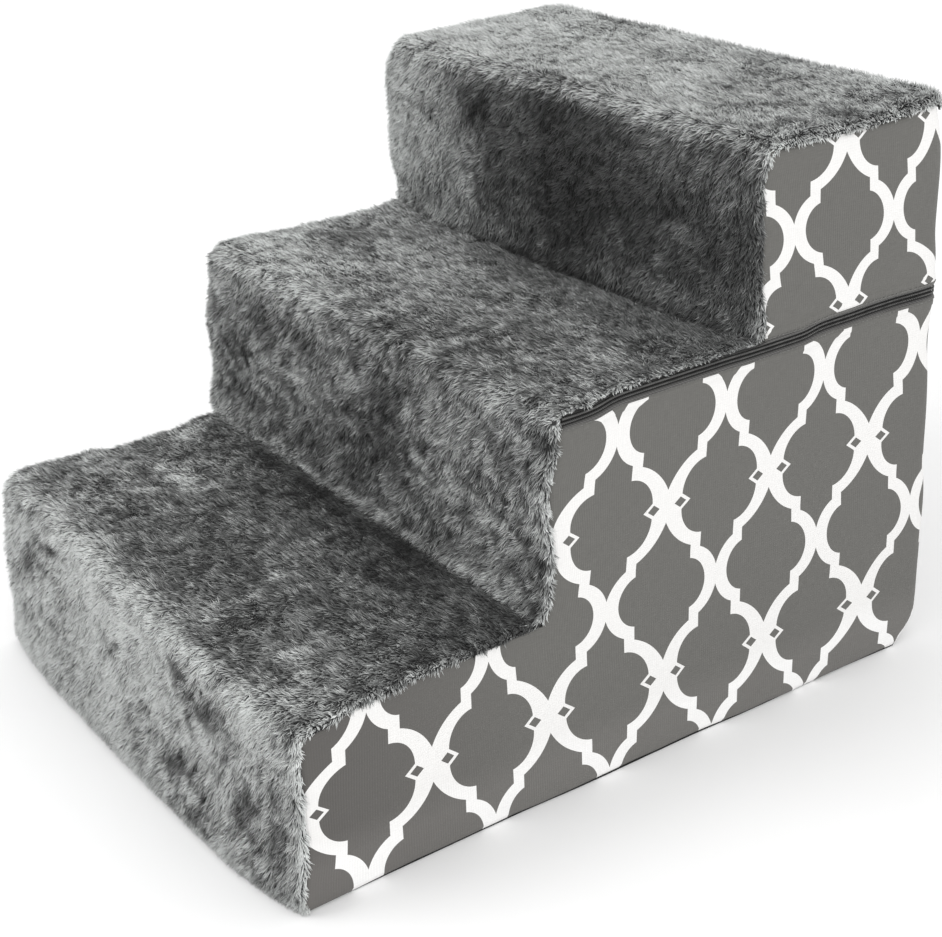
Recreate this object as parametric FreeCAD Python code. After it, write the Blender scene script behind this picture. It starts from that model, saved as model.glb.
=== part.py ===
import FreeCAD, Part

import os

# Three-step pet staircase: foam blocks in a zipped cover of printed canvas and plush, in millimetres.
# +X is across the steps, the front (first riser) faces -Y, +Z is up.
# The origin is the middle of the footprint, on the surface that the stairs stand on.

# Overall size, with the pile
WIDTH = 420.0
DEPTH = 526.0
HEIGHT = 407.0

# Plush: its backing lies on the foam and its pile stands out from it
PLUSH = 10.0
PILE_OVERHANG = 6.0
NOSING_RADIUS = 8.5

# Canvas, zip tape and base panel
CANVAS = 1.0
TAPE = 0.6
BASE_PANEL = 2.0
COIL_PROUD = 0.8
CORNER_RADIUS = 12.0

# Outer faces of the canvas
CANVAS_HALF = WIDTH / 2 - PILE_OVERHANG
CANVAS_BACK = DEPTH / 2 - COIL_PROUD

# Outer faces of the pile on each riser, and the foam tops under each tread
RISER_1 = -DEPTH / 2
RISER_2 = -80.0
RISER_3 = 94.0
FOAM_TOP_1 = 127.0
ZIP_LEVEL = 270.0
FOAM_TOP_3 = HEIGHT - PLUSH

# The zip: half heights are measured from the level where its two coils meet
ZIP_BAND = 5.0
COIL_GAP = 0.6
COIL_HALF = 3.0
TAPE_EDGE = 1.8
TAPE_TUCK = 11.0
FOAM_CHAMFER = 6.0
PARTING_GAP = 0.3
COIL_START = -66.5
STOP_LENGTH = 2.5

# Slider on the left side, with its nose towards the front, and its pull tab
SLIDER_NOSE = -64.0
SLIDER_LENGTH = 11.0
SLIDER_NOSE_WIDTH = 8.4
SLIDER_TAIL_WIDTH = 7.2
PLATE = 1.4
BACK_PLATE = 1.2
RUNNING_GAP = 0.3
COIL_FACE_GAP = 0.4
POST_WIDTH = 0.7
FLANGE = 0.8
PIN_RADIUS = 0.55
EYE_BORE = 0.85
EYE_RADIUS = 1.5
PULL_LENGTH = 30.0
PULL_WIDTH = 7.0
PULL_THICKNESS = 1.4


def vec(x, y, z):
    return FreeCAD.Vector(x, y, z)


def block(x0, x1, y0, y1, z0, z1):
    """A box between two corners."""
    return Part.makeBox(x1 - x0, y1 - y0, z1 - z0, vec(x0, y0, z0))


def slab(inset, front, low, high):
    """A block inside the cover, this far in from the canvas's outer face, with rounded rear corners."""
    half = CANVAS_HALF - inset
    back = CANVAS_BACK - inset
    body = block(-half, half, front, back, low, high)
    rear = [
        e
        for e in body.Edges
        if all(abs(v.Y - back) < 1e-6 for v in e.Vertexes) and e.BoundBox.ZLength > 1e-3
    ]
    return body.makeFillet(CORNER_RADIUS - inset, rear)


def band(outer, inner, front, low, high):
    """An upright strip that runs along the left side, the back and the right side."""
    return slab(outer, front, low, high).cut(slab(inner, front - 1, low - 1, high + 1))


def eased(body, level):
    """A foam block with its two side edges and its rear edge cut off at 45 degrees, at this level."""
    edges = [
        e
        for e in body.Edges
        if e.BoundBox.ZLength < 1e-6
        and abs(e.BoundBox.ZMin - level) < 1e-6
        and e.BoundBox.YMax > CANVAS_BACK - CORNER_RADIUS - 1
    ]
    return body.makeChamfer(FOAM_CHAMFER, edges)


def nosing(body, front, top):
    """A tread's plush with its long front edge rounded over."""
    edges = [
        e
        for e in body.Edges
        if e.BoundBox.XLength > WIDTH / 2
        and abs(e.BoundBox.YMin - front) < 1e-6
        and abs(e.BoundBox.ZMax - top) < 1e-6
    ]
    return body.makeFillet(NOSING_RADIUS, edges)


def beside_zip(body):
    """Plush that the zip runs beside: its edges are tucked in below the top of the zip."""
    half = CANVAS_HALF - CANVAS - TAPE - 2
    top = ZIP_LEVEL + ZIP_BAND
    for side in (-1, 1):
        x0, x1 = sorted((side * half, side * WIDTH))
        body = body.cut(block(x0, x1, -DEPTH, DEPTH, ZIP_LEVEL - 1, top))
    return body


def foam_blocks():
    inset = CANVAS + TAPE
    first = slab(inset, RISER_1 + PLUSH, BASE_PANEL, FOAM_TOP_1)
    top = ZIP_LEVEL - PARTING_GAP
    second = slab(inset, RISER_2 + PLUSH, FOAM_TOP_1, top)
    third = slab(inset, RISER_3 + PLUSH, ZIP_LEVEL, FOAM_TOP_3)
    return {
        "foam_block_lower": first,
        "foam_block_middle": eased(second, top),
        "foam_block_upper": eased(third, ZIP_LEVEL),
    }


def plush_panels():
    half = WIDTH / 2
    top_1 = FOAM_TOP_1 + PLUSH
    top_2 = ZIP_LEVEL + PLUSH
    riser_1 = block(-half, half, RISER_1, RISER_1 + PLUSH, BASE_PANEL, FOAM_TOP_1)
    tread_1 = block(-half, half, RISER_1, RISER_2, FOAM_TOP_1, top_1)
    riser_2 = block(-half, half, RISER_2, RISER_2 + PLUSH, FOAM_TOP_1, ZIP_LEVEL - PARTING_GAP)
    tread_2 = block(-half, half, RISER_2, RISER_3, ZIP_LEVEL, top_2)
    riser_3 = block(-half, half, RISER_3, RISER_3 + PLUSH, ZIP_LEVEL, FOAM_TOP_3)
    tread_3 = block(-half, half, RISER_3, DEPTH / 2, FOAM_TOP_3, HEIGHT)
    return {
        "plush_riser_1": riser_1,
        "plush_tread_1": nosing(tread_1, RISER_1, top_1),
        "plush_riser_2": riser_2,
        "plush_tread_2": beside_zip(nosing(tread_2, RISER_2, top_2)),
        "plush_riser_3": beside_zip(riser_3),
        "plush_tread_3": nosing(tread_3, RISER_3, HEIGHT),
    }


def canvas_wraps():
    """The printed cloth: one stepped strip below the zip and one straight strip above it."""
    lower = band(0, CANVAS, RISER_1 + PLUSH, BASE_PANEL, ZIP_LEVEL - ZIP_BAND)
    above_tread_1 = block(-WIDTH, WIDTH, -DEPTH, RISER_2 + PLUSH, FOAM_TOP_1, HEIGHT)
    return {
        "canvas_wrap_lower": lower.cut(above_tread_1),
        "canvas_wrap_upper": band(0, CANVAS, RISER_3 + PLUSH, ZIP_LEVEL + ZIP_BAND, FOAM_TOP_3),
    }


def base_panel():
    return slab(0, RISER_1 + PLUSH, 0, BASE_PANEL)


def zipper_strips():
    front = RISER_2 + PLUSH
    low_edge = ZIP_LEVEL - TAPE_EDGE
    high_edge = ZIP_LEVEL + TAPE_EDGE
    tape_in = CANVAS + TAPE
    top = ZIP_LEVEL + ZIP_BAND
    upper_tape = band(CANVAS, tape_in, front, high_edge, top)
    tucked = band(CANVAS, tape_in, RISER_3 + PLUSH, top, ZIP_LEVEL + TAPE_TUCK)
    coil_low = ZIP_LEVEL - COIL_HALF
    coil_high = ZIP_LEVEL + COIL_HALF
    return {
        "zipper_tape_lower": band(CANVAS, tape_in, front, ZIP_LEVEL - TAPE_TUCK, low_edge),
        "zipper_tape_upper": upper_tape.fuse(tucked).removeSplitter(),
        "zipper_coil_lower": band(-COIL_PROUD, CANVAS, COIL_START, coil_low, ZIP_LEVEL - COIL_GAP),
        "zipper_coil_upper": band(-COIL_PROUD, CANVAS, COIL_START, ZIP_LEVEL + COIL_GAP, coil_high),
    }


def zipper_end_stops():
    """A stop on the lower tape in front of each end of the coil."""
    inner = CANVAS_HALF - CANVAS
    outer = CANVAS_HALF + COIL_PROUD
    y0 = COIL_START - RUNNING_GAP - STOP_LENGTH
    stops = []
    for side in (-1, 1):
        x0, x1 = sorted((side * inner, side * outer))
        stops.append(block(x0, x1, y0, y0 + STOP_LENGTH, ZIP_LEVEL - COIL_HALF, ZIP_LEVEL - COIL_GAP))
    return Part.makeCompound(stops)


def slider_plate(x0, x1, shrink):
    """One plate of the slider, wider at its nose than at its tail."""
    nose = SLIDER_NOSE_WIDTH / 2 - shrink
    tail = SLIDER_TAIL_WIDTH / 2 - shrink
    y1 = SLIDER_NOSE + SLIDER_LENGTH
    outline = [
        vec(x0, SLIDER_NOSE, ZIP_LEVEL - nose),
        vec(x0, y1, ZIP_LEVEL - tail),
        vec(x0, y1, ZIP_LEVEL + tail),
        vec(x0, SLIDER_NOSE, ZIP_LEVEL + nose),
    ]
    face = Part.Face(Part.makePolygon(outline + outline[:1]))
    plate = face.extrude(vec(x1 - x0, 0, 0))
    corners = [e for e in plate.Edges if abs(e.BoundBox.XLength - (x1 - x0)) < 1e-6]
    return plate.makeFillet(1.2, corners)


def slider_places():
    """X of the slider's faces, from the outside in, on the left side."""
    front_in = -(CANVAS_HALF + COIL_PROUD + COIL_FACE_GAP)
    back_out = -(CANVAS_HALF - CANVAS - TAPE - RUNNING_GAP)
    pin = front_in - PLATE - RUNNING_GAP - EYE_RADIUS
    return front_in, back_out, pin


def zipper_slider():
    front_in, back_out, pin_x = slider_places()
    front_out = front_in - PLATE
    middle = SLIDER_NOSE + SLIDER_LENGTH / 2
    body = slider_plate(front_out, front_in, 0)
    body = body.fuse(slider_plate(back_out, back_out + BACK_PLATE, 0.5))
    half = POST_WIDTH / 2
    post = block(front_in, back_out, SLIDER_NOSE + 1, SLIDER_NOSE + 4, ZIP_LEVEL - half, ZIP_LEVEL + half)
    low = ZIP_LEVEL - SLIDER_TAIL_WIDTH / 2
    flange_in = -(CANVAS_HALF - CANVAS + RUNNING_GAP)
    y1 = SLIDER_NOSE + SLIDER_LENGTH - 1
    flange = block(front_in, flange_in, SLIDER_NOSE + 4, y1, low, low + FLANGE / 2)
    body = body.fuse([post, flange])
    for y0 in (middle - 3.2, middle + 2.0):
        body = body.fuse(block(pin_x - 1.1, front_out, y0, y0 + 1.2, ZIP_LEVEL - 1.2, ZIP_LEVEL + 1.2))
    pin = Part.makeCylinder(PIN_RADIUS, 6.4, vec(pin_x, middle - 3.2, ZIP_LEVEL), vec(0, 1, 0))
    return body.fuse(pin).removeSplitter()


def zipper_pull():
    """The tab that hangs from the slider's pin, with an eye at its top and a slot near its bottom."""
    _, _, pin_x = slider_places()
    middle = SLIDER_NOSE + SLIDER_LENGTH / 2
    neck = 1.6
    eye = Part.makeCylinder(EYE_RADIUS, 2 * neck, vec(pin_x, middle - neck, ZIP_LEVEL), vec(0, 1, 0))
    x0 = pin_x - PULL_THICKNESS / 2
    bottom = ZIP_LEVEL - PULL_LENGTH
    wide = PULL_WIDTH / 2
    outline = [
        vec(x0, middle - neck, ZIP_LEVEL),
        vec(x0, middle - neck, ZIP_LEVEL - 4),
        vec(x0, middle - wide, ZIP_LEVEL - 8),
        vec(x0, middle - wide, bottom),
        vec(x0, middle + wide, bottom),
        vec(x0, middle + wide, ZIP_LEVEL - 8),
        vec(x0, middle + neck, ZIP_LEVEL - 4),
        vec(x0, middle + neck, ZIP_LEVEL),
    ]
    tab = Part.Face(Part.makePolygon(outline + outline[:1])).extrude(vec(PULL_THICKNESS, 0, 0))
    ends = [e for e in tab.Edges if e.BoundBox.XLength > 1 and e.BoundBox.ZMax < bottom + 1]
    tab = tab.makeFillet(2.5, ends)
    slot = block(x0 - 1, x0 + PULL_THICKNESS + 1, middle - 1.5, middle + 1.5, bottom + 3, bottom + 9)
    bore = Part.makeCylinder(EYE_BORE, 2 * neck + 2, vec(pin_x, middle - neck - 1, ZIP_LEVEL), vec(0, 1, 0))
    return eye.fuse(tab).cut(slot.fuse(bore)).removeSplitter()


def model():
    nodes = {"base_panel": base_panel()}
    nodes.update(foam_blocks())
    nodes.update(plush_panels())
    nodes.update(canvas_wraps())
    nodes.update(zipper_strips())
    nodes["zipper_end_stops"] = zipper_end_stops()
    nodes["zipper_slider"] = zipper_slider()
    nodes["zipper_pull"] = zipper_pull()
    return nodes


def write():
    os.makedirs("parts", exist_ok=True)
    for name, shape in model().items():
        shape.exportStep("parts/" + name + ".step")
        box = shape.BoundBox
        print(name, len(shape.Solids), shape.isValid(), round(shape.Volume, 1), box)


write()
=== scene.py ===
"""Looks of a three-step foam pet staircase in a printed canvas and plush zip-off cover."""

import math

import bpy
import numpy as np
from mathutils import Matrix, Vector


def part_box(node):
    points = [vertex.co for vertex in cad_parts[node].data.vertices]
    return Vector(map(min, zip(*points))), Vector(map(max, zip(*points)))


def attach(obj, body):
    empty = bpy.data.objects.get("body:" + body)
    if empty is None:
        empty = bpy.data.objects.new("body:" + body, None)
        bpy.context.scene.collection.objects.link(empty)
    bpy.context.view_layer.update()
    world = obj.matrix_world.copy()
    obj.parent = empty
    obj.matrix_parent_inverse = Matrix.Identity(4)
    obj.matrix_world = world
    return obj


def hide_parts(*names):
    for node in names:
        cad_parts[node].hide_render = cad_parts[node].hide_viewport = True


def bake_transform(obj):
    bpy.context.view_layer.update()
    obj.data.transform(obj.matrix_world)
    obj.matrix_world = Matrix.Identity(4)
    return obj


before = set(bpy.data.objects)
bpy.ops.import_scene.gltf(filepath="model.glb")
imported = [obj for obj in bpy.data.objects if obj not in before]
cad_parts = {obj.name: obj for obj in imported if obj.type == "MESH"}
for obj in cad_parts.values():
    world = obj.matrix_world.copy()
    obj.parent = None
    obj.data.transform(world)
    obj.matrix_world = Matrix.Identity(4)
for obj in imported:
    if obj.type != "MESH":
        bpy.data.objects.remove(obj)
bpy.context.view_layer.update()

# ---------------- measures from the frame
SIDE, REAR, ZIP_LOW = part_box("canvas_wrap_lower")[1]
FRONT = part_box("canvas_wrap_lower")[0].y
_, UPPER_FRONT, ZIP_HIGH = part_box("canvas_wrap_upper")[0]
CANVAS_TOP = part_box("canvas_wrap_upper")[1].z
ZIP_LEVEL = (ZIP_LOW + ZIP_HIGH) / 2
ZIP_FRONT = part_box("zipper_coil_lower")[0].y
STEP_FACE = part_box("plush_riser_2")[1].y
STEP_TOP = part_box("foam_block_lower")[1].z
RISERS = [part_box(f"plush_riser_{i}")[0].y for i in (1, 2, 3)]
TREADS = [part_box(f"plush_tread_{i}")[1].z for i in (1, 2, 3)]
FLOOR_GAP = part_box("plush_riser_1")[0].z
TREAD_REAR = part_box("plush_tread_3")[1].y

# ---------------- flat measures of the soft goods
CANVAS = 0.0010
CANVAS_FOOT = 0.0005
CANVAS_THREAD = 0.0009
CORNER = 0.012
GRID = 0.004
HEM_FLAT = 0.0055
HEM_EDGE = 0.0068
PRINT_STOP = 0.0069
FOAM_ROUND = 0.006
BASE_INSET = 0.0035
BASE_TOP = 0.0019
BASE_BOTTOM = 0.0008
PIPING_INSET = 0.0021
PIPING_RADIUS = 0.0005
PIPING_LEVEL = 0.0006
DOT_GAP = 0.014
PILE = 0.0046
PILE_ON_ZIP = 0.0040
PLUSH_CLOTH = 0.0015
NOSING = 0.0150
CREASE = 0.0030
REAR_ROLL = 0.0065
ROLL = 0.0062
ROLL_TURN = math.radians(80)
ZIP_SIDE_TURN = math.radians(48)
FLAT_X = SIDE - 0.0052
HALF_WIDTH = FLAT_X + ROLL * ROLL_TURN
TAPE_WIDTH = 0.012
TAPE_GAP = 0.0002
COIL_PITCH = 0.00145
BEAD_LENGTH = 0.0012
BEAD_WIDTH = 0.00118
BEAD_HEIGHT = 0.0009
BEAD_OFFSET = 0.0014
BEAD_LIFT = 0.0002
STITCH_PITCH = 0.0036
STITCH_LENGTH = 0.0029
STITCH_RADIUS = 0.00028
FOLD_HALF = 0.022
STRAND_GAP = 0.00105
STRAND = 0.0056
TUFT = 0.0036
PILE_RUN = 0.125
PILE_FOOT = 0.0006

# Arc length round the back of the cover, starting as y along the right-hand side.
TURN_1 = REAR - CORNER
ARC = CORNER * math.pi / 2
TURN_2 = TURN_1 + ARC + 2 * (SIDE - CORNER)
LEFT_START = TURN_2 + ARC


def smooth(value, low, high):
    """0 below low, 1 above high and an even curve between."""
    t = np.clip((np.asarray(value, float) - low) / (high - low), 0, 1)
    return t * t * (3 - 2 * t)


def random_cells(seed, i, j):
    """A random number in -1..1 for each whole-number cell (i, j)."""
    table = np.random.default_rng(seed).uniform(-1, 1, (211, 223))
    return table[np.mod(i, 211), np.mod(j, 223)]


def lump_field(seed, first, second, size_1, size_2):
    """An even random field in -1..1 over two flat coordinates, with lumps of about those sizes."""
    a = np.asarray(first, float) / size_1
    b = np.asarray(second, float) / size_2
    i = np.floor(a).astype(int)
    j = np.floor(b).astype(int)
    s = smooth(a - i, 0, 1)
    t = smooth(b - j, 0, 1)
    near = random_cells(seed, i, j) * (1 - t) + random_cells(seed, i, j + 1) * t
    far = random_cells(seed, i + 1, j) * (1 - t) + random_cells(seed, i + 1, j + 1) * t
    return near * (1 - s) + far * s


def lumps(first, second, *layers):
    """The sum of several lump fields, each given as its strength, its seed and its two sizes."""
    return sum(strength * lump_field(seed, first, second, *sizes) for strength, seed, *sizes in layers)


# Where the filled cover sits off its straight lines, seen from the side, in mm: the place (y, z), then
# how far it is pushed outwards, back and up on the right-hand side, and the same on the left.
SAGS = (
    (-253, 0, (0, -7, 0), (5, -5, 0)),
    (-253, 50, (0, -3, 0), (2, -3, 0)),
    (-251, 125, (0, -3, -4), (-1, 0, 8)),
    (-205, 127, (0, 0, 2), (0, 0, 8)),
    (-160, 127, (0, 0, 5), (0, 0, 4)),
    (-120, 127, (0, -3, 5), (0, 0, 5)),
    (-83, 130, (0, -8.5, 6.5), (0, -5, 9)),
    (-73, 152, (0, -1, 0), (5, -6, 0)),
    (-70, 178, (0, 1, 0), (3, -2, 0)),
    (-70, 211, (0, -3, 0), (1, -5, 0)),
    (-66, 262, (0, 4, -2.5), (0, 0, 0)),
    (5, 270, (0, 0, 2), (0, 0, -3)),
    (60, 270, (0, 0, 2), (0, 0, -4)),
    (100, 270, (0, 0, 1.5), (0, 0, 0)),
    (128, 270, (0, 0, 1.5), (0, 0, 0)),
    (165, 270, (0, 0, 4.5), (0, 0, 0)),
    (213, 270, (0, 0, 5), (0, 0, 0)),
    (257, 270, (0, 8, 4), (0, 2, 0)),
    (104, 325, (0, -6, 3), (1, -6, 2)),
    (104, 373, (0, -8, 3), (2, -7, 2)),
    (104, 398, (0, -2, 4), (0, -1, 3)),
    (180, 398, (0, 0, 4), (0, 0, 3)),
    (262, 397, (0, 2, 7), (0, 0, 6)),
    (262, 340, (0, 4, 2), (0, 0, 1)),
    (262, 180, (0, 12, 0), (0, 4, 0)),
    (262, 80, (2, 14, 0), (0, 5, 0)),
    (262, 20, (6, 10, 0), (0, 4, 0)),
    (150, 0, (4, 0, 0), (0, 0, 0)),
    (0, 0, (2, 0, 0), (0, 0, 0)),
    (-150, 0, (0, 0, 0), (0, 0, 0)),
)


# Bulges of the middle of the cover: the place (y, z), the shift back and up (mm) and its reach (m).
BULGES = (
    (0.104, 0.270, (-8.0, -2.5), 0.032),
    (-0.255, 0.010, (-9.0, 0.0), 0.040),
)


def round_corners(p):
    """x and y with the rear corners of the top step drawn in to a softer bend."""
    soft = smooth(p[..., 2], 0.365, 0.405)
    radius = CORNER + 0.012 * soft
    over_x = np.maximum(np.abs(p[..., 0]) - (SIDE - radius), 0)
    over_y = np.maximum(p[..., 1] - (REAR - radius), 0)
    size = np.maximum(np.hypot(over_x, over_y), 1e-9)
    bend = ((over_x / size) ** 5 + (over_y / size) ** 5) ** 0.2
    pull = np.where(over_x * over_y > 0, (1 - bend) * soft, 0)
    x = p[..., 0] - np.sign(p[..., 0]) * over_x * pull
    return np.stack([x, p[..., 1] - over_y * pull], -1)


def settle(points):
    """Moves points of the soft parts to where the filled cover really sits."""
    p = np.array(points, float)
    rightness = smooth(p[..., 0], -SIDE, 0.12)[..., None]
    total = np.zeros(p.shape[:-1])
    shift = np.zeros(p.shape)
    for y, z, right, left in SAGS:
        weight = 1 / ((p[..., 1] - y / 1000) ** 2 + (p[..., 2] - z / 1000) ** 2 + 0.014**2) ** 2
        total += weight
        shift += weight[..., None] * (np.array(left) + rightness * np.subtract(right, left)) / 1000
    shift /= total[..., None]
    p[..., 0] *= 1 + shift[..., 0] / SIDE
    shift = shift[..., 1:]
    centre = np.clip(1 - (p[..., 0] / 0.20) ** 4, 0, 1)
    for y, z, bulge, reach in BULGES:
        near = centre * np.exp(-((p[..., 1] - y) ** 2 + (p[..., 2] - z) ** 2) / reach**2)
        shift += near[..., None] * np.array(bulge) / 1000
    p[..., :2] = round_corners(p)
    tuck = smooth(p[..., 1], REAR - 0.03, REAR) * (1 - smooth(p[..., 2], 0, 0.032)) ** 2
    p[..., 1] += shift[..., 0] - 0.020 * tuck
    p[..., 2] += shift[..., 1] * smooth(p[..., 2], 0.0, 0.02)
    return p


# ---------------- meshes
def add_object(name, data):
    thing = bpy.data.objects.new(name, data)
    bpy.context.scene.collection.objects.link(thing)
    return thing


def make_mesh(name, points, faces, material, body):
    """A mesh piece riding on body, from points and faces that all have the same number of corners."""
    mesh = bpy.data.meshes.new(name)
    faces = np.asarray(faces, np.int32)
    mesh.vertices.add(len(points))
    mesh.vertices.foreach_set("co", np.asarray(points, np.float32).ravel())
    mesh.loops.add(faces.size)
    mesh.loops.foreach_set("vertex_index", faces.ravel())
    mesh.polygons.add(len(faces))
    mesh.polygons.foreach_set("loop_start", np.arange(0, faces.size, faces.shape[1], dtype=np.int32))
    mesh.update(calc_edges=True)
    mesh.validate()
    mesh.shade_smooth()
    mesh.materials.append(material)
    piece = add_object(name, mesh)
    if body:
        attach(piece, body)
    return piece


def corner_map(piece, name, flat):
    """A UV layer from one pair of numbers for each point."""
    mesh = piece.data
    layer = mesh.uv_layers.new(name=name)
    at = np.zeros(len(mesh.loops), np.int32)
    mesh.loops.foreach_get("vertex_index", at)
    layer.uv.foreach_set("vector", np.asarray(flat, np.float32)[at].ravel())


def shell(front, back, keep=None):
    """Points, faces and the grid places used, of a closed skin between two grids of points.
    keep says which cells of the grid are there."""
    rows, cols = front.shape[:2]
    if keep is None:
        keep = np.ones((rows - 1, cols - 1), bool)
    count = rows * cols
    grid = np.arange(count).reshape(rows, cols)
    a, b, c, d = grid[:-1, :-1], grid[:-1, 1:], grid[1:, 1:], grid[1:, :-1]
    quads = [
        np.stack([a, b, c, d], -1)[keep],
        np.stack([a, d, c, b], -1)[keep] + count,
    ]
    around = np.pad(keep, 1)
    for di, dj, p, q in ((-1, 0, a, b), (0, 1, b, c), (1, 0, c, d), (0, -1, d, a)):
        open_side = keep & ~around[1 + di : rows + di, 1 + dj : cols + dj]
        p1, q1 = p[open_side], q[open_side]
        quads.append(np.stack([q1, p1, p1 + count, q1 + count], -1))
    quads = np.concatenate(quads)
    used, again = np.unique(quads, return_inverse=True)
    points = np.concatenate([front.reshape(-1, 3), back.reshape(-1, 3)])[used]
    return points, again.reshape(quads.shape), used % count


def wall(rings, sides):
    """Triangles between closed rings of that many points, numbered ring after ring."""
    a = np.arange((rings - 1) * sides)
    b = a // sides * sides + (a + 1) % sides
    return np.stack([a, b, b + sides, a, b + sides, a + sides], -1).reshape(-1, 3)


def tube(rings, sides):
    """Triangles of a closed tube: its wall, and a fan across each end."""
    last = (rings - 1) * sides
    ends = [((0, i + 1, i), (last, last + i, last + i + 1)) for i in range(1, sides - 1)]
    return np.concatenate([wall(rings, sides), np.reshape(ends, (-1, 3))])


def copies(faces, size, count):
    """The faces of count equal shapes of size points each, one shape after another."""
    return (faces + size * np.arange(count)[:, None, None]).reshape(-1, 3)


def places(used, *grids):
    """The flat coordinates, from those grids, of the places that a shell used."""
    return np.stack([grid.ravel()[used] for grid in grids], -1)


# ---------------- materials
class Paint:
    """One procedural material, with short names for wiring its nodes."""

    def __init__(self, name, roughness=0.8, sheen=0.0, specular=0.5, metallic=0.0):
        self.material = bpy.data.materials.new(name)
        self.material.use_nodes = True
        self.tree = self.material.node_tree
        self.shader = self.tree.nodes["Principled BSDF"]
        self.shader.inputs["Roughness"].default_value = roughness
        self.shader.inputs["Sheen Weight"].default_value = sheen
        self.shader.inputs["Specular IOR Level"].default_value = specular
        self.shader.inputs["Metallic"].default_value = metallic

    def node(self, kind, **settings):
        made = self.tree.nodes.new("ShaderNode" + kind)
        for key, value in settings.items():
            setattr(made, key, value)
        return made

    def feed(self, socket, value):
        if isinstance(value, bpy.types.NodeSocket):
            self.tree.links.new(value, socket)
        else:
            socket.default_value = value

    def math(self, operation, *values):
        made = self.node("Math", operation=operation)
        for socket, value in zip(made.inputs, values):
            self.feed(socket, value)
        return made.outputs[0]

    def plus(self, one, two):
        return self.math("ADD", one, two)

    def minus(self, one, two):
        return self.math("SUBTRACT", one, two)

    def times(self, one, two):
        return self.math("MULTIPLY", one, two)

    def choose(self, condition, yes, no):
        """yes where condition is 1 and no where it is 0."""
        return self.math("MULTIPLY_ADD", self.minus(yes, no), condition, no)

    def flat(self, layer):
        """The named UV layer's two coordinates."""
        uv = self.node("UVMap", uv_map=layer).outputs[0]
        split = self.node("SeparateXYZ")
        self.feed(split.inputs[0], uv)
        return uv, split.outputs[0], split.outputs[1]

    def place(self):
        return self.node("TexCoord").outputs["Object"]

    def stretch(self, vector, x, y):
        made = self.node("Mapping")
        self.feed(made.inputs[0], vector)
        made.inputs["Scale"].default_value = (x, y, 1)
        return made.outputs[0]

    def noise(self, vector, scale, detail):
        made = self.node("TexNoise")
        self.feed(made.inputs["Vector"], vector)
        made.inputs["Scale"].default_value = scale
        made.inputs["Detail"].default_value = detail
        return made.outputs["Fac"]

    def wave(self, vector, scale, axis="X"):
        made = self.node("TexWave", bands_direction=axis)
        self.feed(made.inputs["Vector"], vector)
        made.inputs["Scale"].default_value = scale
        return made.outputs["Fac"]

    def ramp(self, value, *stops):
        """A colour ramp through (place, colour) stops."""
        made = self.node("ValToRGB")
        self.feed(made.inputs[0], value)
        ramp = made.color_ramp
        while len(ramp.elements) < len(stops):
            ramp.elements.new(0.5)
        for element, (at, colour) in zip(ramp.elements, stops):
            element.position = at
            element.color = (*colour, 1)
        return made.outputs[0]

    def mix(self, share, one, two):
        made = self.node("Mix", data_type="RGBA")
        self.feed(made.inputs[0], share)
        for socket, value in ((made.inputs[6], one), (made.inputs[7], two)):
            self.feed(socket, value if isinstance(value, bpy.types.NodeSocket) else (*value, 1))
        return made.outputs[2]

    def bump(self, height, distance, strength):
        made = self.node("Bump")
        self.feed(made.inputs["Height"], height)
        made.inputs["Distance"].default_value = distance
        made.inputs["Strength"].default_value = strength
        self.feed(self.shader.inputs["Normal"], made.outputs[0])

    def colour(self, value):
        self.feed(self.shader.inputs["Base Color"], value)

    def rough(self, value, low, high):
        made = self.node("MapRange")
        self.feed(made.inputs[0], value)
        made.inputs["To Min"].default_value = low
        made.inputs["To Max"].default_value = high
        self.feed(self.shader.inputs["Roughness"], made.outputs[0])


def grey(level, tint=(1.0, 1.0, 1.0)):
    """Linear colour of a grey given as a display level from 0 to 255."""
    value = (level / 255) ** 2.2
    return tuple(value * t for t in tint)


def circle_side(n, z, centre_x, centre_z, radius, side):
    """x at height z on a circle's left (negative side) or right; side also squeezes it sideways."""
    dz = n.minus(z, centre_z)
    inside = n.minus(radius**2, n.times(dz, dz))
    inside = n.math("MAXIMUM", inside, 0.0)
    return n.math("MULTIPLY_ADD", n.math("SQRT", inside), side, centre_x)


def trellis(n):
    """1 on the printed trellis and 0 on the ground. The "print" layer counts whole repeats; one quarter
    of a repeat is drawn, 47.5 by 60.85, from the middle of a medallion to the middle of the next."""
    _, col, row = n.flat("print")
    x = n.times(n.math("PINGPONG", col, 0.5), 95.0)
    z = n.times(n.math("PINGPONG", n.minus(row, 0.5), 0.5), 121.7)
    near_lobe = circle_side(n, z, 20.0, 0.0, 18.45, 0.943)
    near_point = n.math("MINIMUM", circle_side(n, z, 40.5, 69.5, 45.2, -1.0), 23.8)
    near = n.choose(n.math("LESS_THAN", z, 18.0), near_lobe, near_point)
    far_point = circle_side(n, z, 21.4, -0.56, 27.2, 1.0)
    capped = n.math("MINIMUM", z, 55.8)
    far_lobe = n.math("MINIMUM", circle_side(n, capped, 34.5, 55.8, 21.4, -1.0), 32.4)
    far = n.choose(n.math("LESS_THAN", z, 24.3), far_point, far_lobe)
    band = n.times(n.math("GREATER_THAN", x, near), n.math("LESS_THAN", x, far))
    across = n.math("ABSOLUTE", n.minus(x, 11.7))
    upright = n.math("ABSOLUTE", n.minus(z, 60.85))
    diamond = n.math("MULTIPLY_ADD", upright, 1.39, across)
    band = n.math("MAXIMUM", band, n.math("LESS_THAN", diamond, 8.9))
    return n.times(band, n.math("GREATER_THAN", diamond, 5.15))


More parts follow.
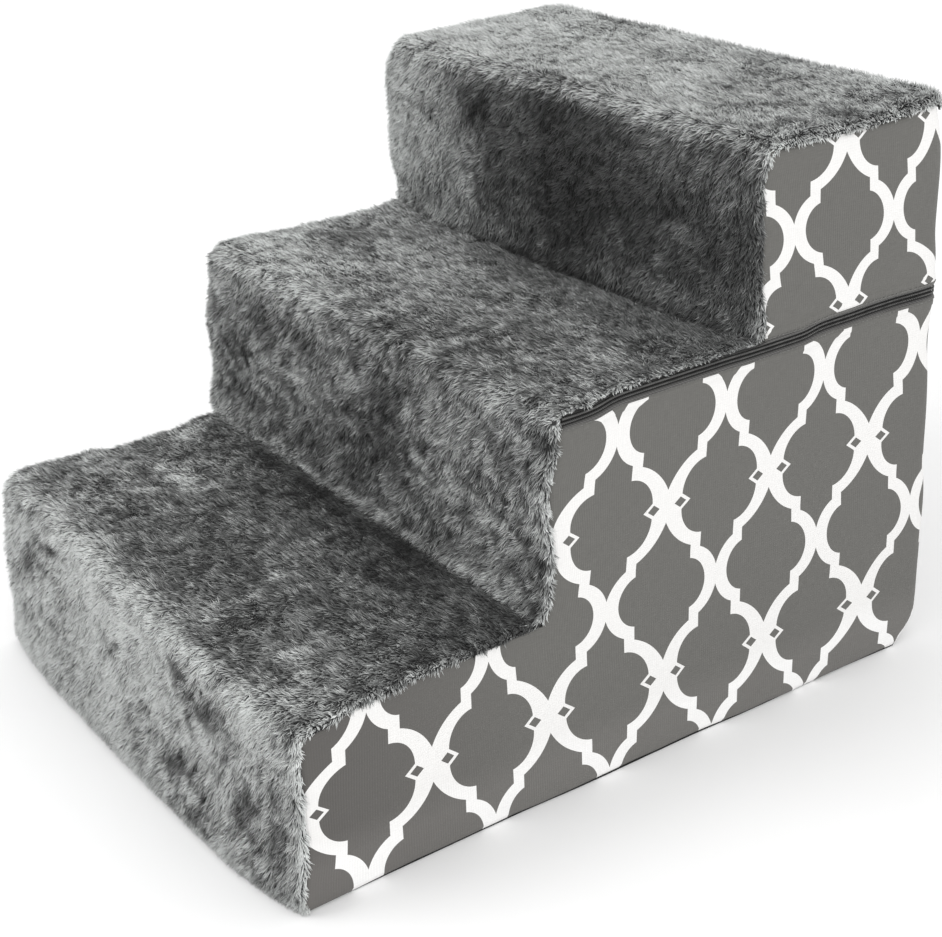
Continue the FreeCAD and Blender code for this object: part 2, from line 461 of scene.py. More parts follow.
def weave(n, pitch):
    """Thread height of a plain weave over the "cloth" layer, and its uneven threads. A wave node turns
    through 20 radians in each unit of its scale, and one wave takes an over and an under thread."""
    uv, _, _ = n.flat("cloth")
    scale = math.pi / (20 * pitch)
    threads = n.times(n.plus(n.wave(uv, scale, "X"), n.wave(uv, scale, "Y")), 0.5)
    long_slubs = n.noise(n.stretch(uv, 160, 1600), 1.0, 2.0)
    tall_slubs = n.noise(n.stretch(uv, 1600, 120), 1.0, 2.0)
    return threads, n.times(n.plus(long_slubs, tall_slubs), 0.5)


def canvas_material():
    n = Paint("printed_canvas", roughness=0.86, sheen=0.08, specular=0.25)
    threads, slubs = weave(n, CANVAS_THREAD)
    uv, u, z = n.flat("cloth")
    off = n.math("ABSOLUTE", n.minus(z, ZIP_LEVEL))
    printed = n.times(trellis(n), n.math("GREATER_THAN", off, PRINT_STOP))
    middle = (LEFT_START + TURN_1) / 2
    depth = n.minus(middle, n.math("ABSOLUTE", n.minus(u, middle)))
    # the ground is mottled, and darker and warmer towards the front ends of the sides
    front = n.math("MAXIMUM", n.times(n.minus(-0.08, depth), 5.5), 0.0)
    mottled_darker_front = n.math("MULTIPLY_ADD", n.noise(uv, 9.0, 3.0), 0.25, front)
    # painted light: towards the floor the ground and the print are painted lighter, lifting the shade
    # near the foot
    painted_light_near_floor = n.math("MINIMUM", n.times(n.minus(0.05, z), 16.0), 0.36)
    ground = n.ramp(slubs, (0.30, grey(96, (1, 0.98, 0.915))), (0.72, grey(109, (1, 0.985, 0.92))))
    ground = n.mix(mottled_darker_front, ground, grey(90, (1, 0.95, 0.90)))
    ground = n.mix(painted_light_near_floor, ground, grey(119, (1, 0.955, 0.91)))
    white = n.ramp(slubs, (0.3, grey(223, (1, 0.99, 0.975))), (0.7, grey(231, (1, 0.99, 0.975))))
    white = n.mix(painted_light_near_floor, white, grey(254))
    shade = n.mix(printed, ground, white)
    n.colour(n.mix(n.times(threads, 0.04), shade, (0.0, 0.0, 0.0)))
    n.bump(n.plus(threads, slubs), 0.00018, 0.8)
    return n.material


def pile_material():
    n = Paint("plush_pile", roughness=0.62, sheen=0.10, specular=0.2)
    tone = n.node("Attribute", attribute_name="tone").outputs["Fac"]
    fine = n.noise(n.place(), 260.0, 2.0)
    value = n.times(tone, n.math("MULTIPLY_ADD", fine, 0.5, 0.75))
    n.colour(n.mix(value, (0.0, 0.0, 0.0), (0.975, 1.0, 0.985)))
    return n.material


def plush_cloth_material():
    n = Paint("plush_backing", roughness=0.95, sheen=0.1, specular=0.2)
    uv, _, _ = n.flat("cloth")
    loops = n.times(n.wave(uv, 340.0, "X"), n.wave(uv, 260.0, "Y"))
    patch = n.noise(uv, 30.0, 3.0)
    value = n.math("MULTIPLY_ADD", loops, 0.5, n.times(patch, 0.5))
    # painted shade: the backing is coloured as dark as the shade between the strands, where it shows
    n.colour(n.ramp(value, (0.2, grey(30)), (0.8, grey(66))))
    n.bump(loops, 0.0004, 0.7)
    return n.material


def foam_material():
    n = Paint("foam", roughness=0.92, sheen=0.1, specular=0.2)
    place = n.place()
    cells = n.node("TexVoronoi", feature="DISTANCE_TO_EDGE")
    n.feed(cells.inputs["Vector"], place)
    cells.inputs["Scale"].default_value = 520.0
    walls = n.ramp(cells.outputs["Distance"], (0.0, (1, 1, 1)), (0.25, (0, 0, 0)))
    age = n.noise(place, 7.0, 4.0)
    tone = n.ramp(age, (0.35, (0.78, 0.72, 0.56)), (0.7, (0.86, 0.82, 0.68)))
    # painted shade: the foam is painted darker inside its cells, the hollows between the cell walls
    n.colour(n.mix(n.times(n.minus(1.0, walls), 0.16), tone, (0.4, 0.34, 0.22)))
    n.bump(walls, 0.0006, 0.6)
    return n.material


def tape_material():
    n = Paint("zip_tape", roughness=0.85, sheen=0.15, specular=0.3)
    uv, _, z = n.flat("cloth")
    ribs = n.wave(uv, 210.0, "Y")
    twill = n.wave(uv, 260.0, "DIAGONAL")
    value = n.plus(n.times(twill, 0.45), n.times(ribs, 0.55))
    tint = (1, 0.98, 0.95)
    cloth = n.ramp(value, (0.1, grey(64, tint)), (0.9, grey(92, tint)))
    off = n.math("ABSOLUTE", n.minus(z, ZIP_LEVEL))
    # painted shade: the tape is painted dark near the coil, in the trough where the coil shades it
    edge = n.ramp(n.times(off, 200.0), (0.62, (0.0, 0.0, 0.0)), (0.70, (1, 1, 1)))
    n.colour(n.mix(edge, grey(34, tint), cloth))
    n.bump(value, 0.0003, 0.8)
    return n.material


def speckled_material(name, scale, detail, stops, rough=None, relief=None, **surface):
    """A material whose colour, roughness and relief all follow one fine noise."""
    n = Paint(name, **surface)
    speckle = n.noise(n.place(), scale, detail)
    n.colour(n.ramp(speckle, *stops))
    if rough:
        n.rough(speckle, *rough)
    if relief:
        n.bump(speckle, *relief)
    return n.material


def base_material():
    n = Paint("base_fabric", roughness=0.9, sheen=0.1, specular=0.3)
    uv, _, _ = n.flat("cloth")
    threads = n.plus(n.wave(uv, 180.0, "X"), n.wave(uv, 180.0, "Y"))
    wear = n.noise(uv, 12.0, 4.0)
    value = n.math("MULTIPLY_ADD", threads, 0.25, n.times(wear, 0.5))
    n.colour(n.ramp(value, (0.2, grey(22)), (0.8, grey(50))))
    n.bump(threads, 0.0003, 0.8)
    return n.material


PRINTED = canvas_material()
PLUSH = pile_material()
BACKING = plush_cloth_material()
FOAM = foam_material()
TAPE = tape_material()
BASE = base_material()
NYLON = speckled_material(
    "zip_coil", 120.0, 3.0, ((0.3, grey(66, (1, 0.99, 0.96))), (0.75, grey(94, (1, 0.99, 0.96)))),
    rough=(0.32, 0.55),
)
METAL = speckled_material(
    "zip_metal", 240.0, 4.0, ((0.35, grey(58)), (0.62, grey(84)), (0.8, grey(150))),
    rough=(0.28, 0.5), relief=(0.00008, 0.5), metallic=0.9,
)
THREAD = speckled_material(
    "stitch_thread", 900.0, 2.0, ((0.3, grey(92, (1, 0.98, 0.94))), (0.7, grey(118, (1, 0.98, 0.94)))),
    relief=(0.0001, 0.6), roughness=0.7, sheen=0.2, specular=0.3,
)
RUBBER = speckled_material(
    "grip_dots", 400.0, 3.0, ((0.3, grey(26)), (0.8, grey(58))), rough=(0.45, 0.7),
)


# ---------------- the round of the cover
def rim(u, out):
    """x and y at arc length u round the cover, out metres outside the canvas."""
    u = np.asarray(u, float)
    turn_1 = np.clip((u - TURN_1) / ARC, 0, 1) * math.pi / 2
    turn_2 = np.clip((u - TURN_2) / ARC, 0, 1) * math.pi / 2
    angle = turn_1 + turn_2
    back = np.clip(u - TURN_1 - ARC, 0, TURN_2 - TURN_1 - ARC)
    x = SIDE - CORNER - back
    y = np.where(u < TURN_1, u, TURN_1) - np.maximum(u - LEFT_START, 0)
    return x + np.cos(angle) * (CORNER + out), y + np.sin(angle) * (CORNER + out)


def round_points(u, z, out):
    """Points at arc length u and height z, out metres proud of the canvas's outer face."""
    x, y = rim(u, out)
    return np.stack(np.broadcast_arrays(x, y, z), -1)


def left_u(y):
    """The arc length at depth y on the left-hand side."""
    return LEFT_START + TURN_1 - y


def repeats(u, z, upper):
    """Print repeats at a flat place of the canvas; the top step is a separate cut. The cloth is pulled
    askew, and more of it is taken up towards the rear corner, where the filling rounds it off."""
    if upper:
        taken = np.clip(u - 0.13, 0, REAR - 0.13)
        u = u - 0.002 + 0.04 * taken + 0.35 * taken**2 + 0.05 * (z - 0.34)
        z = z + 0.0015 + 0.01 * taken
        return (u - 0.1735 + 0.05 * (z - 0.341)) / 0.088, (z - 0.2835 + 0.02 * (u - 0.176)) / 0.114
    taken = np.clip(u - 0.01, 0, REAR - 0.01)
    u = u + 0.03 * taken + 0.125 * taken**2 - 0.055 * np.maximum(z - 0.145, 0)
    z = z + 0.03 * np.maximum(z - 0.17, 0)
    col = (u + 0.1634) / 0.093
    return col, (z - 0.0652 + 0.00299 * col) / 0.124


def along_wall(u, z, out, du, dz, do):
    """Points of one small shape put at each place (u, z, out): du runs along the wall, dz up it and do
    out of it."""
    spread = [np.ravel(at[:, None] + np.ravel(d)) for at, d in ((u, du), (z, dz), (out, do))]
    return settle(round_points(*spread))


def ruled(low, high, step, *extra):
    """Evenly spaced values from low to high, with the extra ones put in."""
    values = np.linspace(low, high, max(2, int(round((high - low) / step)) + 1))
    for e in extra:
        values = values[np.abs(values - e) > step * 0.35]
    return np.unique(np.concatenate([values, extra, [low, high]]))


def canvas_relief(u, z, edge):
    """How proud the canvas stands: a soft fullness, puckers along the zip seam and a turned hem."""
    full = lumps(u, z, (0.0009, 11, 0.085, 0.07), (0.0003, 12, 0.02, 0.03))
    off = np.abs(z - edge)
    pucker = 0.00035 * lump_field(13, u, z * 0, 0.009, 1.0) * np.exp(-((off / 0.010) ** 2))
    hem = 0.0007 * (1 - smooth(off, HEM_FLAT, HEM_EDGE))
    return full + pucker + hem


def canvas_piece(level, u_values, z_values, keep=None):
    """The "lower" or the "upper" cut of printed canvas, over a grid of places round the cover."""
    upper = level == "upper"
    u, z = np.meshgrid(u_values, z_values)
    foot = 1 - smooth(z, 0.0, 0.006)
    out = canvas_relief(u, z, ZIP_HIGH if upper else ZIP_LOW) - 0.0022 * foot**2
    front = settle(round_points(u, z, out))
    back = settle(round_points(u, z, out - CANVAS))
    points, faces, used = shell(front, back, keep)
    piece = make_mesh("canvas_" + level, points, faces, PRINTED, "hood" if upper else "base")
    corner_map(piece, "cloth", places(used, u, z))
    corner_map(piece, "print", places(used, *repeats(u, z, upper)))
    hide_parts("canvas_wrap_" + level)
    return piece


def corner_places():
    """Arc lengths at which the canvas bends round the two rear corners."""
    return (*np.linspace(TURN_1, TURN_1 + ARC, 9), *np.linspace(TURN_2, LEFT_START, 9))


def canvas():
    """The two printed canvas cuts, below and above the zip."""
    end = left_u(FRONT)
    u_values = ruled(FRONT, end, GRID, STEP_FACE, left_u(STEP_FACE), *corner_places())
    foot_rows = (0.002, 0.004, 0.0055)
    hem_rows = (ZIP_LOW - HEM_FLAT, ZIP_LOW - HEM_EDGE)
    z_values = ruled(CANVAS_FOOT, ZIP_LOW, GRID, STEP_TOP, *foot_rows, *hem_rows)
    mid_u = (u_values[:-1] + u_values[1:]) / 2
    mid_z = (z_values[:-1] + z_values[1:]) / 2
    behind = (mid_u > STEP_FACE) & (mid_u < left_u(STEP_FACE))
    low = canvas_piece("lower", u_values, z_values, behind[None, :] | (mid_z < STEP_TOP)[:, None])
    u_values = ruled(UPPER_FRONT, left_u(UPPER_FRONT), GRID, *corner_places())
    z_values = ruled(ZIP_HIGH, CANVAS_TOP, GRID, ZIP_HIGH + HEM_FLAT, ZIP_HIGH + HEM_EDGE)
    high = canvas_piece("upper", u_values, z_values)


# ---------------- the zip
ZIP_END = left_u(ZIP_FRONT)


def tape(name, body, node):
    """A woven tape whose outer edge is under the canvas hem and inner edge at the coil."""
    sign = 1 if body == "base" else -1
    low, high = sorted((ZIP_LEVEL - TAPE_GAP * sign, ZIP_LEVEL - (TAPE_GAP + TAPE_WIDTH) * sign))
    u, z = np.meshgrid(ruled(ZIP_FRONT, ZIP_END, GRID), np.linspace(low, high, 19))
    off = np.abs(z - ZIP_LEVEL)
    under = smooth(off, 0.0052, 0.0066)
    trough = 1 - smooth(off, 0.0028, 0.0038)
    out = 0.0010 - 0.0022 * under - 0.0016 * trough + 0.00012 * np.cos(z / 0.0011 * math.tau)
    level = z
    if sign < 0:
        in_front = 1 - smooth(u, UPPER_FRONT - 0.006, UPPER_FRONT + 0.003)
        in_front += smooth(u, left_u(UPPER_FRONT + 0.003), left_u(UPPER_FRONT - 0.006))
        tucked = np.maximum(z - ZIP_LEVEL - 0.0025, 0) * in_front
        level = z - tucked
        out = out - tucked
    front = settle(round_points(u, level, out))
    back = settle(round_points(u, level - 0.0004 * (sign < 0), out - 0.0005))
    points, faces, used = shell(front, back)
    piece = make_mesh(name, points, faces, TAPE, body)
    corner_map(piece, "cloth", places(used, u, z))
    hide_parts(node)


def coil(name, body, node):
    """One half of the zip: every turn of the nylon coil is a slanting round-ended bead that laps past
    the middle."""
    sign = -1 if body == "base" else 1
    u = np.arange(ZIP_FRONT, ZIP_END, COIL_PITCH) + (0 if body == "base" else COIL_PITCH / 2)
    z = np.full(len(u), ZIP_LEVEL + sign * BEAD_OFFSET)
    ring = np.array([(-0.5, 0.0), (-0.3, 0.85), (0.3, 0.85), (0.5, 0.0), (0.3, -0.6), (-0.3, -0.6)])
    full = np.array([0.35, 1.0, 1.0, 0.35])[:, None]
    dz = np.array([-0.5, -0.36, 0.36, 0.5])[:, None] * BEAD_LENGTH * np.ones(6)
    du = ring[:, 0] * full * BEAD_WIDTH + dz * (0.5 * sign)
    points = along_wall(u, z, np.full(len(u), BEAD_LIFT), du, dz, ring[:, 1] * full * BEAD_HEIGHT)
    piece = make_mesh(name, points, copies(tube(4, 6), 24, len(u)), NYLON, body)
    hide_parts(node)


def stitches(name, body, level):
    """A row of separate thread stitches round the cover at that level, each lying along the seam."""
    start = ZIP_FRONT if body == "base" else UPPER_FRONT + 0.004
    u = np.arange(start, left_u(start), STITCH_PITCH)
    z = np.full(len(u), level)
    out = canvas_relief(u, z, ZIP_LOW if body == "base" else ZIP_HIGH) + 0.0001
    ring = np.linspace(0, math.tau, 6, endpoint=False)
    along = np.array([-0.5, -0.4, 0.0, 0.4, 0.5]) * STITCH_LENGTH
    lift = np.array([-0.9, 0.0, 0.35, 0.0, -0.9]) * 0.0004
    full = np.array([0.4, 1, 1.1, 1, 0.4]) * STITCH_RADIUS
    do = np.repeat(lift, 6) + np.outer(full, np.sin(ring)).ravel()
    points = along_wall(u, z, out, np.repeat(along, 6), np.outer(full, np.cos(ring)), do)
    piece = make_mesh(name, points, copies(tube(5, 6), 30, len(u)), THREAD, body)


def zipper():
    tape("zip_tape_low", "base", "zipper_tape_lower")
    tape("zip_tape_high", "hood", "zipper_tape_upper")
    coil("zip_coil_low", "base", "zipper_coil_lower")
    coil("zip_coil_high", "hood", "zipper_coil_upper")
    stitches("topstitch_low", "base", ZIP_LOW - 0.0011)
    stitches("topstitch_high", "hood", ZIP_HIGH + 0.0011)
    for node in ("zipper_end_stops", "zipper_slider", "zipper_pull"):
        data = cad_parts[node].data
        data.materials.clear()
        data.materials.append(METAL)


# ---------------- plush
class Profile:
    """The line of the steps seen from the side, under the pile, by length s from the front foot."""

    def __init__(self):
        faces = [y + PILE for y in RISERS]
        tops = [TREADS[0] - PILE, TREADS[1] - PILE_ON_ZIP, TREADS[2] - PILE]
        end = TREAD_REAR - 0.0010
        corners = [(faces[0], FLOOR_GAP, 0.0)]
        for i in range(3):
            corners.append((faces[i], tops[i], NOSING))
            if i < 2:
                corners.append((faces[i + 1], tops[i], CREASE))
        corners.append((end, tops[2], REAR_ROLL))
        corners.append((end, tops[2] - 0.0095, 0.0))
        points, at = self.walk(np.array(corners))
        gaps = np.linalg.norm(np.diff(points, axis=0), axis=1)
        self.s = np.concatenate([[0], np.cumsum(gaps)])
        self.y, self.z = points.T
        self.corner_s = [float(self.s[i]) for i in at]
        self.length = float(self.s[-1])

    @staticmethod
    def walk(corners):
        """Points along the line, its corners rounded, and the number of the point at each corner."""
        points = [corners[0, :2]]
        middles = [0]
        for before, here, after in zip(corners, corners[1:], corners[2:]):
            p, radius = here[:2], here[2]
            one = (before[:2] - p) / np.linalg.norm(before[:2] - p)
            two = (after[:2] - p) / np.linalg.norm(after[:2] - p)
            centre = p + (one + two) * radius
            start = len(points)
            for a in np.linspace(0, math.pi / 2, 13):
                points.append(centre - two * radius * math.cos(a) - one * radius * math.sin(a))
            middles.append(start + 6)
        points.append(corners[-1, :2])
        middles.append(len(points) - 1)
        return np.array(points), middles

    def line(self, s):
        """y, z and the outward direction (ny, nz) at s."""
        y = np.interp(s, self.s, self.y)
        z = np.interp(s, self.s, self.z)
        step = 0.0008
        dy = np.interp(s + step, self.s, self.y) - np.interp(s - step, self.s, self.y)
        dz = np.interp(s + step, self.s, self.z) - np.interp(s - step, self.s, self.z)
        size = np.maximum(np.hypot(dy, dz), 1e-9)
        return y, z, -dz / size, dy / size


STEPS = Profile()


def plush_surface(s, across):
    """The plush cloth's outer face at length s and distance across from the middle, with the directions
    out of it, up the steps and towards the side."""
    y, z, ny, nz = STEPS.line(s)
    y = y + 0.003 * (1 - smooth(s, 0, 0.011))
    side = np.sign(across)
    over_zip = smooth(s, STEPS.corner_s[3] - 0.004, STEPS.corner_s[3] + 0.006)
    over_zip = over_zip * (1 - smooth(s, STEPS.corner_s[4] - 0.002, STEPS.corner_s[4] + 0.006))
    full_turn = ROLL_TURN - (ROLL_TURN - ZIP_SIDE_TURN) * over_zip
    turn = np.clip((np.abs(across) - FLAT_X) / (HALF_WIDTH - FLAT_X), 0, 1) * full_turn
    drop = ROLL * (1 - np.cos(turn))
    x = side * (np.minimum(np.abs(across), FLAT_X) + ROLL * np.sin(turn))
    lump = lumps(s, across, (0.0012, 21, 0.06, 0.07), (0.0006, 22, 0.02, 0.025))
    lift = lump * (1 - smooth(turn, 0, 1)) - drop
    point = np.stack([x, y + ny * lift, z + nz * lift], -1)
    cos, sin = np.cos(turn), np.sin(turn)
    out = np.stack([side * sin, ny * cos, nz * cos], -1)
    up = np.stack([np.zeros_like(ny), nz, -ny], -1)
    sideways = np.stack([cos, -side * ny * sin, -side * nz * sin], -1)
    return point, out, up, sideways


# Brightness of each panel's pile (display levels) at its left, middle and right, for its lower or front
# edge, its middle and its upper or rear edge. The plush is one cloth, so these levels are painted light
# and shade: how each panel and its nap, brushed one way or another, catch the light, and the creases'
# shade.
NAP_AND_LIGHT_TONES = {
    "riser_1": ((145, 134, 114), (158, 160, 120), (144, 166, 142)),
    "tread_1": ((96, 82, 104), (103, 72, 82), (76, 51, 57)),
    "riser_2": ((97, 66, 88), (106, 86, 104), (99, 89, 87)),
    "tread_2": ((158, 104, 102), (121, 95, 89), (98, 61, 68)),
    "riser_3": ((162, 50, 76), (160, 33, 52), (152, 37, 78)),
    "tread_3": ((161, 140, 140), (170, 138, 118), (146, 124, 134)),
}
PANELS = list(NAP_AND_LIGHT_TONES)
# How strongly the pile of each panel in turn is broken up into lighter and darker tufts. This is partly
# painted shade, strongest on the upright second riser, whose pile shades itself less.
TUFT_TONE_AND_SHADE = (1.3, 1.3, 1.9, 1.2, 0.9, 1.1)


# Strokes and finger marks in each panel's pile, with painted light: the long thin marks along the
# nosings are painted highlights and those along the creases painted shade. The middle of the mark across
# the steps and up (or back) from the panel's lower edge in mm, its half length and half width in mm, its
# turn, the change.
STROKES_AND_PAINTED_LIGHT = {
    "riser_1": (
        (-120, 107, 17, 6, 15, -0.50),
        (-163, 84, 18, 9, 8, -0.45),
        (-19, 85, 9, 4, 25, -0.60),
        (70, 112, 24, 13, 30, -0.50),
        (96, 90, 22, 11, 25, -0.50),
        (72, 36, 34, 6, 10, -0.46),
        (149, 48, 20, 12, 35, -0.46),
        (100, 16, 16, 10, 0, -0.40),
        (130, 78, 26, 6, 60, -0.26),
        (186, 32, 12, 28, 0, -0.24),
        (168, 108, 14, 12, 0, 0.12),
    ),
    "tread_1": (
        # painted highlight along the first nosing
        (-10, 2, 230, 9, 0, 0.50),
        # painted shade in the crease at the rear of the first tread
        (10, 170, 190, 8, 0, -0.34),
        (-106, 101, 22, 12, 10, 0.50),
        (-115, 70, 5, 12, -25, 0.35),
        (-170, 112, 34, 7, 10, -0.25),
        (-185, 145, 20, 14, -30, 0.35),
        (46, 80, 8, 7, 0, 0.40),
        (62, 55, 6, 6, 0, 0.35),
        (-8, 150, 4, 16, 0, 0.30),
        (22, 132, 6, 10, 20, 0.28),
        (138, 36, 6, 10, -20, 0.40),
    ),
    "riser_2": (
        # painted highlight along the second nosing
        (-110, 139, 90, 7, 0, 0.30),
        (10, 8, 190, 7, 0, 0.20),
        (-120, 112, 60, 16, 0, -0.14),
        (30, 70, 24, 36, 0, -0.40),
        (-172, 38, 28, 8, 15, -0.30),
        (150, 110, 20, 10, -20, -0.25),
        (-70, 34, 8, 12, 0, -0.28),
        (95, 60, 18, 16, 0, 0.12),
    ),
    "tread_2": (
        (-148, 96, 28, 20, -15, -0.36),
        (50, 34, 30, 22, 0, -0.22),
        (146, 68, 12, 9, 0, 0.22),
        (-150, 38, 40, 12, -25, 0.16),
        (-60, 30, 12, 18, 0, -0.22),
        (20, 172, 130, 6, 0, 0.22),
    ),
    "riser_3": (
        # painted highlight along the top nosing
        (60, 121, 150, 7, 0, 0.40),
        # painted shade in the crease at the foot of the top riser
        (0, 2, 165, 5, 0, -0.52),
        (-66, 66, 22, 50, 0, -0.30),
        (-92, 100, 14, 16, 0, -0.30),
        (-84, 40, 4, 26, 5, -0.30),
        (140, 56, 22, 12, 10, 0.45),
        (95, 14, 60, 10, 0, 0.30),
        (-165, 22, 40, 14, 0, -0.16),
        (70, 46, 8, 6, 0, 0.30),
    ),
    "tread_3": (
        (-114, 152, 22, 10, 0, -0.26),
        (-8, 8, 40, 8, 0, -0.34),
        (-160, 30, 14, 12, 20, -0.24),
        (120, 70, 50, 60, 0, -0.08),
        (180, 80, 20, 70, 0, -0.10),
    ),
}


def nap_and_light_rows():
    """Where each row of NAP_AND_LIGHT_TONES lies: just inside the two edges of its panel and half way."""
    at = []
    for i, (low, high) in enumerate(zip(STEPS.corner_s, STEPS.corner_s[1:7])):
        # rows lie 2 mm from the creases, so that the painted shade there starts sharply
        at_low, at_high = (0.002, 0.009) if i % 2 == 0 else (0.009, 0.002)
        at += [low + at_low, (low + high) / 2, high - at_high]
    return list(zip(at, [row for panel in PANELS for row in NAP_AND_LIGHT_TONES[panel]]))


def nap_and_light_tone(s, across):
    """Display level of the pile, with its painted light and shade, at length s up the steps and distance
    across from the middle.
    """
    x = (np.clip(across / SIDE, -1, 1) + 1) / 2
    x = smooth(x, 0, 1) * 0.5 + x * 0.5
    rows = [(at, np.interp(x, [0, 0.5, 1], row)) for at, row in nap_and_light_rows()]
    level = rows[0][1]
    for (before, old), (here, new) in zip(rows, rows[1:]):
        level = level + (new - old) * smooth(s, before, here)
    return level


def strand_roots(s_low, s_high, seed):
    """Evenly scattered roots over a stretch of plush, and each one's place in a square map."""
    rng = np.random.default_rng(seed)
    rows = max(1, int(round((s_high - s_low) / STRAND_GAP)))
    cols = int(round(2 * HALF_WIDTH / STRAND_GAP))
    i, j = np.mgrid[0:rows, 0:cols]
    s = s_low + (i + rng.uniform(0, 1, i.shape)) * (s_high - s_low) / rows
    across = (j + rng.uniform(0, 1, j.shape)) / cols * 2 * HALF_WIDTH - HALF_WIDTH
    cell = np.stack([(j / cols), (i / rows)], -1).reshape(-1, 2)
    return s.ravel(), across.ravel(), cell, (1 / cols, 1 / rows), rng


def brushed_and_painted_light(s, across):
    """Share by which strokes left in the pile, and the painted highlights and shade along nosings and
    creases, lighten or darken it at those places.
    """
    layers = ((0.45, 45, 0.011, 0.011), (0.40, 46, 0.006, 0.006), (0.35, 47, 0.003, 0.003))
    ragged = 1 + lumps(s, across, *layers)
    gain = np.zeros(len(s))
    marks = [(start, *mark) for start, panel in zip(STEPS.corner_s, PANELS) for mark in STROKES_AND_PAINTED_LIGHT[panel]]
    for start, x, along, long, wide, turn, change in marks:
        turn = math.radians(turn)
        dx = across - x / 1000
        dy = s - start - along / 1000
        one = (dx * math.cos(turn) + dy * math.sin(turn)) / (long / 1000)
        two = (dy * math.cos(turn) - dx * math.sin(turn)) / (wide / 1000)
        gain += change * (1 - smooth(np.sqrt(one**2 + two**2) * ragged, 0.30, 1.40))
    return gain


# Seed and sizes of the field that stands one tuft up and lays the next one down; it also paints the
# raised tufts lighter and the laid ones darker.
TUFT_HEIGHT = (35, 0.0056, 0.0040)


def strand_ways(s, across, out, up, sideways, rng):
    """The way each strand points: down the steps, swirled, gathered in tufts and raised unevenly, and
    flatter on the treads, where paws press it down."""
    count = len(s)
    swirl = lumps(s, across, (0.55, 31, 0.035, 0.045), (0.35, 32, 0.012, 0.014))
    fan = 0.30 * np.sign(across) * smooth(np.abs(across), 0.8 * SIDE, SIDE)
    tuft = lump_field(34, s, across, 0.0046, 0.0040)
    angle = 0.8 * swirl + 1.05 * tuft + fan + rng.normal(0, 0.32, count)
    ruffle = lump_field(33, s, across, 0.030, 0.022)
    tilt = np.radians(41 - 13 * np.clip(out[:, 2], 0, 1))
    tilt = tilt + 0.10 * ruffle + lumps(s, across, (0.20, *TUFT_HEIGHT)) + rng.normal(0, 0.12, count)
    tilt = np.clip(tilt, 0.20, 1.15)
    lean = -np.cos(angle)[:, None] * up + np.sin(angle)[:, None] * sideways
    return np.cos(tilt)[:, None] * lean + np.sin(tilt)[:, None] * out


def gather(s, across, up, sideways):
    """How far each strand's tip is drawn towards the middle of its tuft."""
    i, j = np.floor(s / TUFT).astype(int), np.floor(across / TUFT).astype(int)
    to_s = (i + 0.5 + 0.45 * random_cells(36, i, j)) * TUFT - s
    to_across = (j + 0.5 + 0.45 * random_cells(37, i, j)) * TUFT - across
    return 0.55 * (to_s[:, None] * up + to_across[:, None] * sideways)


def pile_tones(s, across, rng):
    """Brightness of each strand: the nap's level with its painted light and shade, strokes and painted
    highlights and shade, patches and tufts with painted shade, painted light at the side edges and
    single strands.
    """
    level = nap_and_light_tone(s, across)
    patch = lumps(s, across, (0.12, 41, 0.024, 0.030), (0.15, 42, 0.009, 0.011))
    # painted light and shade: the tuft field lightens the raised tufts and darkens the laid ones
    patch = patch + lumps(s, across, (0.15, *TUFT_HEIGHT), (0.19, 44, 0.0034, 0.0028))
    middles = [(low + high) / 2 for low, high in zip(STEPS.corner_s, STEPS.corner_s[1:7])]
    patch = patch * np.interp(s, middles, TUFT_TONE_AND_SHADE)
    # painted light: the pile is made lighter at the side edges, where it rolls over into shade
    patch = patch + 0.35 * smooth(np.abs(across), HALF_WIDTH - 0.008, HALF_WIDTH)
    level = level * (1 + patch) * (1 + brushed_and_painted_light(s, across))
    return (np.maximum(level, 8) / 255) ** 2.2 * np.exp(rng.normal(0, 0.40, len(s)))


def pile(name, s_low, s_high, body, seed):
    """The pile of one stretch of plush as closed, pointed strands, all leaning down the steps."""
    s, across, cell, cell_size, rng = strand_roots(s_low, s_high, seed)
    count = len(s)
    root, out, up, sideways = plush_surface(s, across)
    direction = strand_ways(s, across, out, up, sideways, rng)
    edge = smooth(np.abs(across), FLAT_X, HALF_WIDTH)
    length = STRAND * rng.uniform(0.70, 1.20, count) * (1 - 0.28 * edge)
    width = rng.uniform(0.0008, 0.0015, count)
    flat_way = np.cross(out, direction)
    flat_way /= np.linalg.norm(flat_way, axis=1)[:, None]
    thick_way = np.cross(direction, flat_way)
    base = root - out * 0.0004
    half = flat_way * width[:, None] / 2
    ridge = thick_way * width[:, None] * 0.35
    tip = root + direction * length[:, None] + gather(s, across, up, sideways)
    corners = np.stack([base - half, base + half, base + ridge, tip], 1)
    points = settle(corners.reshape(-1, 3))
    points[:, 2] = np.maximum(points[:, 2], PILE_FOOT)
    first = 4 * np.arange(count)[:, None]
    faces = np.concatenate([first + k for k in ([0, 1, 2], [0, 3, 1], [1, 3, 2], [2, 3, 0])])
    piece = make_mesh(name, points, faces, PLUSH, body)
    tone = pile_tones(s, across, rng)[:, None]
    # painted shade and highlight: roots are dark as the shade between strands, tips light as their
    # sheen, and the roots at the rolled side edges are lifted against their shade
    share = np.array([0.22, 0.22, 0.40, 1.65]) + edge[:, None] * np.array([0.35, 0.35, 0.30, 0.0])
    values = np.clip(tone * share * 2.1, 0.004, 0.95).ravel()
    layer = piece.data.attributes.new("tone", "FLOAT", "POINT")
    layer.data.foreach_set("value", values.astype(np.float32))
    inside = np.array([(0.1, 0.1), (0.9, 0.1), (0.5, 0.1), (0.5, 0.9)]) * np.array(cell_size)
    corner_map(piece, "OFBake", (cell[:, None] + inside[None]).reshape(-1, 2))
    return piece


